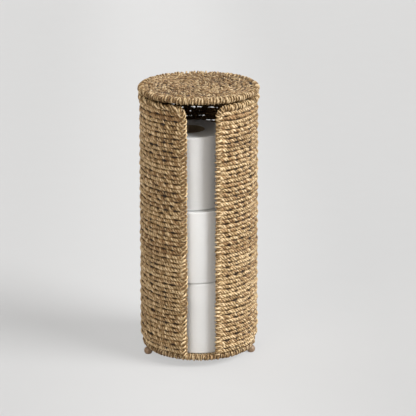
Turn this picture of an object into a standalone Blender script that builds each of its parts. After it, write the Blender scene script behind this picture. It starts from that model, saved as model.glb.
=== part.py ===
"""A toilet paper stand: a woven seagrass tower on a wire frame, open down its front, with a hinged lid,
four ball feet and three rolls stacked inside.

Metres, +Z up. The origin is on the floor under the tower's axis, and the open slot faces -Y.
Angles round the tower are measured from the slot, towards +X.
"""

import math

import bmesh
import bpy
from mathutils import Vector

# Paper rolls, which set the size of the tower
ROLL_RADIUS = 0.049
ROLL_HEIGHT = 0.1016
ROLL_EDGE_RADIUS = 0.0026
CORE_RADIUS = 0.0205
CORE_WALL = 0.001
CORE_INSET = 0.0006
ROLL_NAMES = ("lower", "middle", "upper")

# Free space round a centred roll, and from the upper roll to the top of the rim
ROLL_ROOM = 0.0246
HEAD_ROOM = 0.047
# How far each roll stands off centre, sideways and front to back, as shares of the free space
ROLL_SHIFT_SHARES = ((0.0, -0.84), (-0.24, -0.87), (-0.54, -0.64))

# Wire frame
RING_WIRE_RADIUS = 0.0018
STAKE_WIRE_RADIUS = 0.0015
STAKE_COUNT = 15
SPOKE_COUNT = 8
HUB_RADIUS = 0.007
HUB_THICKNESS = 0.0036

# Profile of the frame against the wall's top: its rim, its swell above the base, and the base ring
RIM_FLARE = 0.0003
FOOT_SWELL = 0.0016
BASE_DRAW = 0.0028
SWELL_HEIGHT = 0.014

# Weave and the cord bindings along its edges
WALL_THICKNESS = 0.0072
BASE_THICKNESS = 0.0062
LID_THICKNESS = 0.0068
LID_RISE = 0.0008
RIM_BINDING_RADIUS = 0.005
BASE_BINDING_RADIUS = 0.0047
LID_BINDING_RADIUS = 0.005

# Front slot, between its bindings, and the wire's bend at each top corner
SLOT_WIDTH = 0.0365
SLOT_BEND_RADIUS = 0.0095
SLOT_BEND_LEAD = 0.002

# Ball feet on wire pins
FOOT_RADIUS = 0.006
FOOT_HEIGHT = 0.0095
FOOT_PAD_RADIUS = 0.0024
PIN_RADIUS = 0.0012
PIN_DEPTH = 0.0045
FOOT_ANGLES = {
    "front_left": math.radians(-75),
    "front_right": math.radians(75),
    "back_left": math.radians(-130),
    "back_right": math.radians(130),
}

# Cord loops that hang the lid on the rim
LOOP_CORD_RADIUS = 0.0014
LOOP_SIDE_ROOM = 0.0012

# Clearances: between touching pieces, round a wire in its channel, under the lid, and past a cut
SEAT_GAP = 0.0003
WIRE_GAP = 0.0003
LID_GAP = 0.0006
OVERRUN = 0.004
WELD_DISTANCE = SEAT_GAP / 10

# Facets
RING_STEPS = 18
BEND_STEPS = 5
TURN_STEPS = 32
FOOT_STEPS = 12
ARC_STEPS = 2
LOOP_STEPS = 6
WIRE_SIDE_STEPS = 1
BINDING_SIDE_STEPS = 2
SHARP_ANGLE = math.radians(40)

# Levels, from the floor up
base_ring_z = FOOT_HEIGHT + SEAT_GAP + BASE_BINDING_RADIUS
roll_floor_z = base_ring_z + BASE_THICKNESS / 2 + SEAT_GAP
roll_pitch = ROLL_HEIGHT + SEAT_GAP
rim_top_z = roll_floor_z + len(ROLL_NAMES) * roll_pitch - SEAT_GAP + HEAD_ROOM
rim_ring_z = rim_top_z - RIM_BINDING_RADIUS
lid_ring_z = rim_top_z + LID_GAP + LID_BINDING_RADIUS

# Radii of the frame, and the half width of the slot at its wires
wall_top_radius = ROLL_RADIUS + ROLL_ROOM + WALL_THICKNESS / 2
wall_foot_radius = wall_top_radius + FOOT_SWELL
base_ring_radius = wall_top_radius - BASE_DRAW
rim_ring_radius = wall_top_radius + RIM_FLARE
slot_wire_x = SLOT_WIDTH / 2 + RIM_BINDING_RADIUS

# Edges of the wall's weave against its bindings
wall_bottom_z = base_ring_z + BASE_BINDING_RADIUS + SEAT_GAP
wall_top_z = rim_ring_z - RIM_BINDING_RADIUS - SEAT_GAP
bend_start_z = rim_ring_z - SLOT_BEND_RADIUS
slot_top_z = bend_start_z - SLOT_BEND_LEAD

# Heights and radii that the frame runs through, from the base ring up
frame_stations = (
    (base_ring_z, base_ring_radius),
    (base_ring_z + SWELL_HEIGHT, wall_foot_radius),
    (slot_top_z, wall_top_radius),
    (rim_ring_z, rim_ring_radius),
)


def frame_radius(z):
    """Radius of the wire frame at a height: it swells over the base ring and draws in to the rim."""
    for (low_z, low_radius), (high_z, high_radius) in zip(frame_stations, frame_stations[1:]):
        if z <= high_z:
            break
    return low_radius + (high_radius - low_radius) * (z - low_z) / (high_z - low_z)


def levels(bottom_z, top_z):
    """The two heights and the frame's stations between them."""
    return [bottom_z, *(z for z, _ in frame_stations if bottom_z < z < top_z), top_z]


def around(radius, angle, z):
    return Vector((radius * math.sin(angle), -radius * math.cos(angle), z))


def slot_angle(z):
    return math.asin(slot_wire_x / frame_radius(z))


# Where the rim's ring begins past the slot's bend, and the angles of stakes and hinge loops
rim_start_angle = slot_angle(rim_ring_z) + SLOT_BEND_RADIUS / rim_ring_radius
stake_step = 2 * (math.pi - slot_angle(rim_ring_z)) / (STAKE_COUNT + 1)
loop_angle = math.pi - stake_step / 2
loop_x = rim_ring_radius * math.sin(loop_angle)
loop_half_notch = LOOP_CORD_RADIUS + LOOP_SIDE_ROOM
notch_front_angle = math.pi - math.asin((loop_x + loop_half_notch) / rim_ring_radius)
notch_back_angle = math.pi - math.asin((loop_x - loop_half_notch) / rim_ring_radius)
hinge_y = rim_ring_radius

parts = bpy.data.collections.new("toilet_paper_stand")
helpers = bpy.data.collections.new("cutters")


def clear_scene():
    for obj in list(bpy.data.objects):
        bpy.data.objects.remove(obj, do_unlink=True)
    for collection in (parts, helpers):
        bpy.context.scene.collection.children.link(collection)


def material(name, colour, roughness, metallic=0.0):
    made = bpy.data.materials.new(name)
    made.use_nodes = True
    shader = made.node_tree.nodes["Principled BSDF"]
    shader.inputs["Base Color"].default_value = (*colour, 1.0)
    shader.inputs["Roughness"].default_value = roughness
    shader.inputs["Metallic"].default_value = metallic
    return made


def put(obj, collection, finish=None):
    """Links an object, gives it its finish and, among the helpers, hides it from the render."""
    collection.objects.link(obj)
    if finish:
        obj.data.materials.append(finish)
    if collection == helpers:
        obj.hide_render = True
        obj.display_type = "WIRE"
    return obj


def rod(name, paths, radius, collection, finish=None, closed=False, side_steps=WIRE_SIDE_STEPS):
    """Round bars along one or more polylines, as one curve object with filled caps."""
    curve = bpy.data.curves.new(name, "CURVE")
    curve.dimensions = "3D"
    curve.bevel_depth = radius
    curve.bevel_resolution = side_steps
    curve.use_fill_caps = not closed
    for path in paths:
        spline = curve.splines.new("POLY")
        spline.points.add(len(path) - 1)
        for point, place in zip(spline.points, path):
            point.co = (*place, 1.0)
        spline.use_cyclic_u = closed
    return put(bpy.data.objects.new(name, curve), collection, finish)


def as_mesh(obj):
    """Replaces an object by its evaluated mesh, welded, shaded smooth and ready to be cut or to cut."""
    name = obj.name
    finish = obj.data.materials[0] if obj.data.materials else None
    collection = obj.users_collection[0]
    bpy.context.view_layer.update()
    evaluated = obj.evaluated_get(bpy.context.evaluated_depsgraph_get())
    mesh = bpy.data.meshes.new_from_object(evaluated)
    weld = bmesh.new()
    weld.from_mesh(mesh)
    bmesh.ops.remove_doubles(weld, verts=weld.verts, dist=WELD_DISTANCE)
    bmesh.ops.recalc_face_normals(weld, faces=weld.faces)
    weld.to_mesh(mesh)
    weld.free()
    place = obj.matrix_world.copy()
    bpy.data.objects.remove(obj, do_unlink=True)
    mesh.materials.clear()
    mesh.shade_smooth()
    mesh.set_sharp_from_angle(angle=SHARP_ANGLE)
    solid = bpy.data.objects.new(name, mesh)
    solid.matrix_world = place
    return put(solid, collection, finish)


def turned(name, profile, collection, finish=None, steps=TURN_STEPS, closed=True):
    """A solid of revolution about Z from (radius, z) points that run down its outer side."""
    mesh = bpy.data.meshes.new(name)
    points = [(radius, 0.0, z) for radius, z in profile]
    edges = [(i, i + 1) for i in range(len(points) - 1)]
    if closed:
        edges.append((len(points) - 1, 0))
    mesh.from_pydata(points, edges, [])
    obj = put(bpy.data.objects.new(name, mesh), collection, finish)
    screw = obj.modifiers.new("turn", "SCREW")
    screw.steps = screw.render_steps = steps
    screw.use_merge_vertices = True
    screw.merge_threshold = WELD_DISTANCE
    return as_mesh(obj)


def block(name, outline, depth, y, collection):
    """A flat outline in X and Z, closed and made solid from y - depth / 2 to y + depth / 2."""
    curve = bpy.data.curves.new(name, "CURVE")
    curve.dimensions = "2D"
    curve.fill_mode = "BOTH"
    curve.extrude = depth / 2
    spline = curve.splines.new("POLY")
    spline.points.add(len(outline) - 1)
    for point, (x, z) in zip(spline.points, outline):
        point.co = (x, z, 0.0, 1.0)
    spline.use_cyclic_u = True
    obj = put(bpy.data.objects.new(name, curve), collection)
    obj.rotation_euler = (math.radians(90), 0, 0)
    obj.location = (0, y, 0)
    return as_mesh(obj)


def boolean(obj, other, operation="DIFFERENCE"):
    step = obj.modifiers.new(f"{operation.lower()}_{other.name}", "BOOLEAN")
    step.operation = operation
    step.solver = "EXACT"
    step.object = other
    return obj


def ring_arc(radius, z, angles):
    return [around(radius, angle, z) for angle in angles]


def spread(start, end, steps):
    return [start + (end - start) * i / steps for i in range(steps + 1)]


def extended(path):
    """The path with both ends run on by the overrun, for a cutter that leaves the piece."""
    first = path[0] + (path[0] - path[1]).normalized() * OVERRUN
    last = path[-1] + (path[-1] - path[-2]).normalized() * OVERRUN
    return [first, *path, last]


def slot_side(bottom_z, top_z):
    """The straight run of the slot's right edge."""
    return [around(frame_radius(z), slot_angle(z), z) for z in levels(bottom_z, top_z)]


def slot_bend():
    """The slot's last straight run and its quarter bend into the rim, on the frame's surface."""
    path = [around(frame_radius(slot_top_z), slot_angle(slot_top_z), slot_top_z)]
    for turn in spread(0.0, math.pi / 2, BEND_STEPS):
        z = bend_start_z + SLOT_BEND_RADIUS * math.sin(turn)
        run = SLOT_BEND_RADIUS * (1 - math.cos(turn))
        path.append(around(frame_radius(z), slot_angle(z) + run / frame_radius(z), z))
    return path


def left_of(path):
    """The mirror image of a path on the tower's left side."""
    return [Vector((-point.x, point.y, point.z)) for point in path]


def rim_side():
    """The rim's right side, from the slot's bend to the front edge of the hinge notch."""
    angles = spread(rim_start_angle, notch_front_angle, RING_STEPS)
    return slot_bend() + ring_arc(rim_ring_radius, rim_ring_z, angles[1:])


def rim_back():
    """The short rim between the two hinge notches."""
    angles = [notch_back_angle, math.pi, 2 * math.pi - notch_back_angle]
    return ring_arc(rim_ring_radius, rim_ring_z, angles)


def lid_front():
    """The lid's rim, from one hinge notch round the front to the other."""
    angles = spread(0.0, notch_front_angle, RING_STEPS)
    front = [-angle for angle in reversed(angles[1:])] + angles
    return ring_arc(rim_ring_radius, lid_ring_z, front)


def lid_back():
    angles = [notch_back_angle, math.pi, 2 * math.pi - notch_back_angle]
    return ring_arc(rim_ring_radius, lid_ring_z, angles)


def base_ring():
    angles = spread(0.0, 2 * math.pi, 2 * RING_STEPS)[:-1]
    return ring_arc(base_ring_radius, base_ring_z, angles)


def stake_paths(bottom_z, top_z):
    """One line up the frame for each stake, between two heights."""
    paths = []
    for k in range(1, STAKE_COUNT + 1):
        angle = slot_angle(rim_ring_z) + k * stake_step
        paths.append([around(frame_radius(z), angle, z) for z in levels(bottom_z, top_z)])
    return paths


def spoke_paths(radius, z):
    """Radial lines out of the hub, turned half a step so that none meets a hinge notch."""
    root = HUB_RADIUS - STAKE_WIRE_RADIUS
    paths = []
    for k in range(SPOKE_COUNT):
        angle = 2 * math.pi * (k + 0.5) / SPOKE_COUNT
        paths.append([around(root, angle, z), around(radius, angle, z)])
    return paths


def hub(name, z, gap, collection, finish=None):
    """The small welded plate at the middle of a disc, or the room for it with a gap all round."""
    half = HUB_THICKNESS / 2 + gap
    radius = HUB_RADIUS + gap
    profile = [(0.0, z + half), (radius, z + half), (radius, z - half), (0.0, z - half)]
    return turned(name, profile, collection, finish, steps=2 * SPOKE_COUNT, closed=False)


def star(name, radius, z, finish):
    """The spokes of a disc, welded to the hub."""
    made = hub(name, z, 0.0, parts, finish)
    spokes = rod(f"{name}_spokes", spoke_paths(radius, z), STAKE_WIRE_RADIUS, helpers)
    return boolean(made, as_mesh(spokes), "UNION")


def spoke_holes(name, radius, z):
    """Channels for a disc's spokes."""
    return as_mesh(rod(name, spoke_paths(radius, z), STAKE_WIRE_RADIUS + WIRE_GAP, helpers))


def binding(name, path, radius, finish, holes=(), closed=False):
    """A cord binding round a ring wire: a round bar with side holes and the wire's channel along it."""
    outer = as_mesh(rod(name, [path], radius, parts, finish, closed, BINDING_SIDE_STEPS))
    for hole in holes:
        boolean(outer, hole)
    bore_path = path if closed else extended(path)
    bore = rod(f"{name}_bore", [bore_path], RING_WIRE_RADIUS + WIRE_GAP, helpers, closed=closed)
    return boolean(outer, as_mesh(bore))


def stake_holes(name):
    """Channels for the stakes, from inside the base ring's binding into the rim's."""
    paths = stake_paths(base_ring_z, rim_ring_z)
    return as_mesh(rod(name, paths, STAKE_WIRE_RADIUS + WIRE_GAP, helpers))


def make_frame(steel):
    """The steel wire: rings, bent slot wire, stakes and the spokes of the base."""
    slot_foot_z = base_ring_z + RING_WIRE_RADIUS + WIRE_GAP
    right = slot_side(slot_foot_z, slot_top_z)[:-1] + rim_side()
    left = list(reversed(left_of(right)))
    rod("rim_wire", [right + rim_back() + left], RING_WIRE_RADIUS, parts, steel)
    rod("base_ring_wire", [base_ring()], RING_WIRE_RADIUS, parts, steel, closed=True)
    reach = RING_WIRE_RADIUS + WIRE_GAP
    for k, path in enumerate(stake_paths(base_ring_z + reach, rim_ring_z - reach), start=1):
        rod(f"stake_{k:02d}", [path], STAKE_WIRE_RADIUS, parts, steel)
    star("base_spokes", base_ring_radius - reach, base_ring_z, steel)


def slot_cutter():
    """The front opening in the weave, flared at the top to round the two corners."""
    half = slot_wire_x + RIM_BINDING_RADIUS + SEAT_GAP
    bend = SLOT_BEND_RADIUS - RIM_BINDING_RADIUS - SEAT_GAP
    corner = []
    for turn in spread(0.0, math.pi / 2, BEND_STEPS):
        across = half + bend * (1 - math.cos(turn))
        corner.append((across, wall_top_z - bend * (1 - math.sin(turn))))
    over = [(half + bend, wall_top_z + OVERRUN)]
    right = [(half, wall_bottom_z - OVERRUN), *corner, *over]
    outline = right + [(-x, z) for x, z in reversed(right)]
    depth = wall_foot_radius + WALL_THICKNESS
    return block("slot_cutter", outline, depth, -depth / 2, helpers)


def make_wall(seagrass):
    half = WALL_THICKNESS / 2
    stations = levels(wall_bottom_z, wall_top_z)
    outer = [(frame_radius(z) + half, z) for z in reversed(stations)]
    inner = [(frame_radius(z) - half, z) for z in stations]
    profile = outer + inner
    wall = turned("wall_weave", profile, parts, seagrass, steps=2 * RING_STEPS)
    boolean(wall, slot_cutter())
    boolean(wall, stake_holes("wall_stake_holes"))
    swing = RIM_BINDING_RADIUS + 2 * LOOP_CORD_RADIUS
    for side in (-1, 1):
        edges = [side * loop_x - loop_half_notch, side * loop_x + loop_half_notch]
        low, high = rim_ring_z - swing, rim_ring_z
        outline = [(edges[0], low), (edges[1], low), (edges[1], high), (edges[0], high)]
        name = f"loop_notch_{'left' if side < 0 else 'right'}"
        boolean(wall, block(name, outline, 2 * WALL_THICKNESS, hinge_y, helpers))


def make_tower_bindings(seagrass):
    """The bindings of the rim and slot, with holes where stakes enter them."""
    rim_pieces = {
        "rim_binding_right": rim_side(),
        "rim_binding_left": left_of(rim_side()),
        "rim_binding_back": rim_back(),
    }
    for name, path in rim_pieces.items():
        binding(name, path, RIM_BINDING_RADIUS, seagrass, [stake_holes(f"{name}_stake_holes")])
    right = slot_side(wall_bottom_z, slot_top_z - SEAT_GAP)
    binding("slot_binding_right", right, RIM_BINDING_RADIUS, seagrass)
    binding("slot_binding_left", left_of(right), RIM_BINDING_RADIUS, seagrass)


def make_base(seagrass):
    """The base ring's binding, entered by the stakes, slot wires, spokes and foot pins, and its weave."""
    uprights = slot_side(base_ring_z, wall_bottom_z + OVERRUN)
    wires = [uprights, left_of(uprights)]
    pins = []
    for angle in FOOT_ANGLES.values():
        pins.append([around(base_ring_radius, angle, z) for z in (FOOT_HEIGHT - OVERRUN, base_ring_z)])
    holes = [
        stake_holes("base_stake_holes"),
        as_mesh(rod("base_slot_holes", wires, RING_WIRE_RADIUS + WIRE_GAP, helpers)),
        as_mesh(rod("base_pin_holes", pins, PIN_RADIUS + WIRE_GAP, helpers)),
        spoke_holes("base_binding_spoke_holes", base_ring_radius, base_ring_z),
    ]
    binding("base_binding", base_ring(), BASE_BINDING_RADIUS, seagrass, holes, closed=True)
    sizes = (base_ring_radius, BASE_BINDING_RADIUS, base_ring_z, BASE_THICKNESS, 0.0)
    disc_weave("base_weave", *sizes, seagrass)


def disc_weave(name, ring_radius, binding_radius, z, thickness, rise, finish):
    """A woven disc with rounded edges inside its ring's binding, with room for the hub and spokes."""
    radius = ring_radius - binding_radius - SEAT_GAP
    top, bottom = z + rise + thickness / 2, z + rise - thickness / 2
    edge = thickness / 4
    upper, lower = top - edge, bottom + edge
    profile = [(0.0, top)]
    for turn in spread(math.pi / 2, 0.0, ARC_STEPS):
        profile.append((radius - edge + edge * math.cos(turn), upper + edge * math.sin(turn)))
    for turn in spread(0.0, -math.pi / 2, ARC_STEPS):
        profile.append((radius - edge + edge * math.cos(turn), lower + edge * math.sin(turn)))
    profile.append((0.0, bottom))
    disc = turned(name, profile, parts, finish, steps=2 * RING_STEPS, closed=False)
    boolean(disc, spoke_holes(f"{name}_spoke_holes", ring_radius, z))
    return boolean(disc, hub(f"{name}_hub_room", z, WIRE_GAP, helpers))


def make_feet(wood, steel):
    """Turned balls with a flat pad below, a flat seat under the base and a blind hole for the pin."""
    middle_z = math.sqrt(FOOT_RADIUS**2 - FOOT_PAD_RADIUS**2)
    seat_radius = math.sqrt(FOOT_RADIUS**2 - (FOOT_HEIGHT - middle_z) ** 2)
    pin_hole_radius = PIN_RADIUS + WIRE_GAP
    pin_floor_z = FOOT_HEIGHT - PIN_DEPTH
    top_turn = math.atan2(FOOT_HEIGHT - middle_z, seat_radius)
    low_turn = -math.atan2(middle_z, FOOT_PAD_RADIUS)
    ball = []
    for turn in spread(top_turn, low_turn, 2 * ARC_STEPS):
        ball.append((FOOT_RADIUS * math.cos(turn), middle_z + FOOT_RADIUS * math.sin(turn)))
    hole_floor_z = pin_floor_z - WIRE_GAP
    hole = [(0.0, hole_floor_z), (pin_hole_radius, hole_floor_z), (pin_hole_radius, FOOT_HEIGHT)]
    profile = [*hole, *ball, (0.0, 0.0)]
    pin_top_z = base_ring_z - RING_WIRE_RADIUS - WIRE_GAP
    for name, angle in FOOT_ANGLES.items():
        foot = turned(f"foot_{name}", profile, parts, wood, steps=FOOT_STEPS, closed=False)
        foot.location = around(base_ring_radius, angle, 0)
        pin = [around(base_ring_radius, angle, z) for z in (pin_floor_z, pin_top_z)]
        rod(f"foot_pin_{name}", [pin], PIN_RADIUS, parts, steel)


def belt(low, low_radius, high, high_radius):
    """A closed line of (y, z) points, wrapped tight round two circles."""
    run = Vector(high) - Vector(low)
    lean = math.atan2(run.y, run.x)
    open_angle = math.acos((low_radius - high_radius) / run.length)
    points = []
    for turn in spread(lean - open_angle, lean + open_angle, LOOP_STEPS):
        points.append(Vector(high) + high_radius * Vector((math.cos(turn), math.sin(turn))))
    for turn in spread(lean + open_angle, lean - open_angle + 2 * math.pi, LOOP_STEPS):
        points.append(Vector(low) + low_radius * Vector((math.cos(turn), math.sin(turn))))
    return points


def make_lid(seagrass, steel):
    """The lid's wire ring, spokes, weave and binding, and the loops that hang it on the rim."""
    ring = lid_front() + lid_back()
    reach = RING_WIRE_RADIUS + WIRE_GAP
    pieces = [
        rod("lid_ring_wire", [ring], RING_WIRE_RADIUS, parts, steel, closed=True),
        star("lid_spokes", rim_ring_radius - reach, lid_ring_z, steel),
        binding("lid_binding_back", lid_back(), LID_BINDING_RADIUS, seagrass),
    ]
    holes = [spoke_holes("lid_binding_spoke_holes", rim_ring_radius, lid_ring_z)]
    pieces.append(binding("lid_binding", lid_front(), LID_BINDING_RADIUS, seagrass, holes))
    sizes = (rim_ring_radius, LID_BINDING_RADIUS, lid_ring_z, LID_THICKNESS, LID_RISE)
    pieces.append(disc_weave("lid_weave", *sizes, seagrass))

    wire_y = math.sqrt(rim_ring_radius**2 - loop_x**2)
    near_y = math.sqrt(rim_ring_radius**2 - (loop_x + LOOP_CORD_RADIUS) ** 2)
    swing_radius = hinge_y - near_y + RING_WIRE_RADIUS + WIRE_GAP + LOOP_CORD_RADIUS
    hold_radius = wire_y - near_y + RING_WIRE_RADIUS + WIRE_GAP + LOOP_CORD_RADIUS
    path = belt((hinge_y, rim_ring_z), swing_radius, (wire_y, lid_ring_z), hold_radius)
    for side, name in ((-1, "hinge_loop_left"), (1, "hinge_loop_right")):
        loop = [Vector((side * loop_x, y, z)) for y, z in path]
        pieces.append(rod(name, [loop], LOOP_CORD_RADIUS, parts, seagrass, closed=True))

    hinge = put(bpy.data.objects.new("lid_hinge", None), parts)
    hinge.location = (0, hinge_y, rim_ring_z)
    bpy.context.view_layer.update()
    for piece in pieces:
        piece.parent = hinge
        piece.matrix_parent_inverse = hinge.matrix_world.inverted()


def make_rolls(paper, card):
    """Three rolls, each with its origin on its own axis at its foot."""
    bore = CORE_RADIUS + SEAT_GAP
    side = ROLL_RADIUS - ROLL_EDGE_RADIUS
    profile = [(bore, ROLL_HEIGHT)]
    for turn in spread(math.pi / 2, 0.0, ARC_STEPS):
        lift = ROLL_HEIGHT - ROLL_EDGE_RADIUS * (1 - math.sin(turn))
        profile.append((side + ROLL_EDGE_RADIUS * math.cos(turn), lift))
    for turn in spread(0.0, -math.pi / 2, ARC_STEPS):
        lift = ROLL_EDGE_RADIUS * (1 + math.sin(turn))
        profile.append((side + ROLL_EDGE_RADIUS * math.cos(turn), lift))
    profile.append((bore, 0.0))
    tube = [
        (CORE_RADIUS, ROLL_HEIGHT - CORE_INSET),
        (CORE_RADIUS, CORE_INSET),
        (CORE_RADIUS - CORE_WALL, CORE_INSET),
        (CORE_RADIUS - CORE_WALL, ROLL_HEIGHT - CORE_INSET),
    ]
    for k, (name, shares) in enumerate(zip(ROLL_NAMES, ROLL_SHIFT_SHARES)):
        place = Vector((ROLL_ROOM * shares[0], ROLL_ROOM * shares[1], roll_floor_z + k * roll_pitch))
        turned(f"paper_roll_{name}", profile, parts, paper).location = place
        turned(f"roll_core_{name}", tube, parts, card).location = place


def main():
    clear_scene()
    seagrass = material("seagrass", (0.52, 0.38, 0.2), 0.75)
    steel = material("dark_steel", (0.05, 0.045, 0.04), 0.45, 1.0)
    wood = material("foot_wood", (0.36, 0.24, 0.14), 0.5)
    paper = material("paper", (0.86, 0.86, 0.84), 0.9)
    card = material("card", (0.45, 0.36, 0.26), 0.85)
    make_frame(steel)
    make_wall(seagrass)
    make_tower_bindings(seagrass)
    make_base(seagrass)
    make_feet(wood, steel)
    make_lid(seagrass, steel)
    make_rolls(paper, card)


main()
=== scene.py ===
"""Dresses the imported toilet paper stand: woven seagrass over its wire frame, whipped rims, paper rolls,
wooden ball feet, and a plain pale studio round it.

Metres, +Z up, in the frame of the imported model. The open slot faces -Y. Angles round the tower are
measured from the slot, towards +X.
"""

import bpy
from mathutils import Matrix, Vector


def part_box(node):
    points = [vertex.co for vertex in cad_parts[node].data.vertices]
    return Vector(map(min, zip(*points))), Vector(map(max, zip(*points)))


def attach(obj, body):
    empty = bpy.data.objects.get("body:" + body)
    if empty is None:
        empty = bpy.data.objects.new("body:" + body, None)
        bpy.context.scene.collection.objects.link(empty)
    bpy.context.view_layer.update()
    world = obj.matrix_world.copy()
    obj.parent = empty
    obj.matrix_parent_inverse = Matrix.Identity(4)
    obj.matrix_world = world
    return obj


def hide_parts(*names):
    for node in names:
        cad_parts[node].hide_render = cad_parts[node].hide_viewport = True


bl_info = {
    "name": "Seagrass Toilet Paper Stand",
    "version": (1, 0, 0),
    "blender": (4, 5, 0),
    "location": "View3D > Sidebar > Stand",
    "description": "Builds the woven surfaces, rolls, feet and studio of a toilet paper stand",
    "category": "Object",
}

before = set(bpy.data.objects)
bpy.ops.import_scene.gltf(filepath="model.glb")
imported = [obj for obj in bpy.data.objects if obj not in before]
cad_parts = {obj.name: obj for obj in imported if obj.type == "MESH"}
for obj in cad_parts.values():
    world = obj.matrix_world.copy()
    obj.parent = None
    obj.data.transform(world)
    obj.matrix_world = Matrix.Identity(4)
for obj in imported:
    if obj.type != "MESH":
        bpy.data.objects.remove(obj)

import math

import bpy
import numpy as np
from bpy.props import FloatProperty, FloatVectorProperty, IntProperty, PointerProperty
from mathutils import Vector

FULL_TURN = 2 * math.pi
UPWARD = np.array([0.0, 0.0, 1.0])
SIDEWAYS = np.array([1.0, 0.0, 0.0])
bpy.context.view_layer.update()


def box_of(node):
    low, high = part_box(node)
    return np.array(low), np.array(high)


def ring_of(node):
    """The radius of a cord binding, and the radius and height of the wire ring inside it."""
    low, high = box_of(node)
    thick = (high[2] - low[2]) / 2
    return thick, -low[1] - thick, (high[2] + low[2]) / 2


BASE_BINDING, BASE_RING, BASE_Z = ring_of("base_binding")
LID_BINDING, RIM_RING, LID_Z = ring_of("lid_binding")
RIM_Z = box_of("rim_binding_right")[1][2] - LID_BINDING
SLOT_LOW, SLOT_HIGH = box_of("slot_binding_right")
SLOT_X = (SLOT_LOW[0] + SLOT_HIGH[0]) / 2
SLOT_BEND = RIM_Z - SLOT_HIGH[2]
WALL_LOW, WALL_HIGH = box_of("wall_weave")

# The lid's loops hang in notches of the rim, and the whippings stop a little short of a notch
END_ROOM = 0.002
NOTCH_X = box_of("rim_binding_back")[1][0]
LOOP_LOW, LOOP_HIGH = box_of("hinge_loop_right")
LOOP_EDGE = LOOP_LOW[0] + LOOP_HIGH[0] - NOTCH_X
NOTCH_START = math.pi - math.asin((LOOP_EDGE + END_ROOM) / RIM_RING)
BACK_HALF = math.asin((NOTCH_X - END_ROOM) / RIM_RING)

# Stakes stand at even steps between the two sides of the slot
STAKES = 15
FIRST_STAKE = math.asin(SLOT_X / RIM_RING)
STAKE_STEP = 2 * (math.pi - FIRST_STAKE) / (STAKES + 1)


def wall_profile():
    """Heights and mid radii of the wall's solid, read from its corners."""
    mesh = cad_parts["wall_weave"].data
    corners = np.array([corner.co for corner in mesh.vertices])
    radii = np.hypot(corners[:, 0], corners[:, 1])
    back = (corners[:, 1] > 0) & (np.abs(corners[:, 0]) > 2 * NOTCH_X)
    heights = np.round(corners[back, 2], 5)
    stations = []
    for height in np.unique(heights):
        there = radii[back][heights == height]
        if np.ptp(there) > LID_BINDING:
            stations.append((height, (there.max() + there.min()) / 2))
    return np.array(stations)


WALL_STATIONS = wall_profile()


def wall_radius(z):
    return np.interp(z, WALL_STATIONS[:, 0], WALL_STATIONS[:, 1])


class StandSizes(bpy.types.PropertyGroup):
    """The sizes of the cord and the weave."""

    course_pitch: FloatProperty(
        name="Course pitch", description="Height of one course of cord in the wall",
        default=0.0062, min=0.002, unit="LENGTH")
    plies: IntProperty(
        name="Plies", description="Strands twisted into each cord of the weave", default=3, min=2, max=4)
    cord_radius: FloatProperty(
        name="Cord radius", description="Radius of the circle that the wall's twisted cord fills",
        default=0.00345, min=0.001, unit="LENGTH")
    cord_turn: FloatProperty(
        name="Cord turn", description="Length of cord in which its plies twist once round",
        default=0.0125, min=0.005, unit="LENGTH")
    weave_swing: FloatProperty(
        name="Weave swing", description="How far a course bows out past a stake and in behind the next",
        default=0.0006, min=0.0, unit="LENGTH")
    eye_height: FloatProperty(
        name="Eye height", description="How far a gap beside a stake pushes its two courses apart",
        default=0.0008, min=0.0001, unit="LENGTH")
    rim_share: FloatProperty(
        name="Rim share", description="Thickness of the cord that whips the rims, against the wall's cord",
        default=0.71, min=0.2, max=1.5)
    edge_share: FloatProperty(
        name="Edge share", description="Thickness of the cord beside the slot, against the wall's cord",
        default=0.86, min=0.2, max=1.5)
    strand_sides: IntProperty(
        name="Strand sides", description="Corners round each strand", default=7, min=5, max=16)


def colour_setting(name, description, default):
    return FloatVectorProperty(
        name=name, description=description, subtype="COLOR", size=3, default=default, min=0.0, max=1.0)


class StandColours(bpy.types.PropertyGroup):
    """The colours of the grass, paper, card, wood, wire and floor."""

    straw: colour_setting("Straw", "Dry pale blades", (1.0, 0.8, 0.51))
    brown: colour_setting("Brown", "Dark brown blades", (0.42, 0.23, 0.08))
    olive: colour_setting("Olive", "Blades that dried green", (0.62, 0.47, 0.2))
    paper: colour_setting("Paper", "Tissue", (0.8, 0.81, 0.82))
    card: colour_setting("Card", "Roll cores", (0.42, 0.33, 0.23))
    wood: colour_setting("Wood", "Ball feet", (0.34, 0.22, 0.13))
    wire: colour_setting("Wire", "Coated wire", (0.035, 0.025, 0.017))
    floor: colour_setting("Floor", "Studio sweep", (0.25, 0.25, 0.25))


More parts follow.
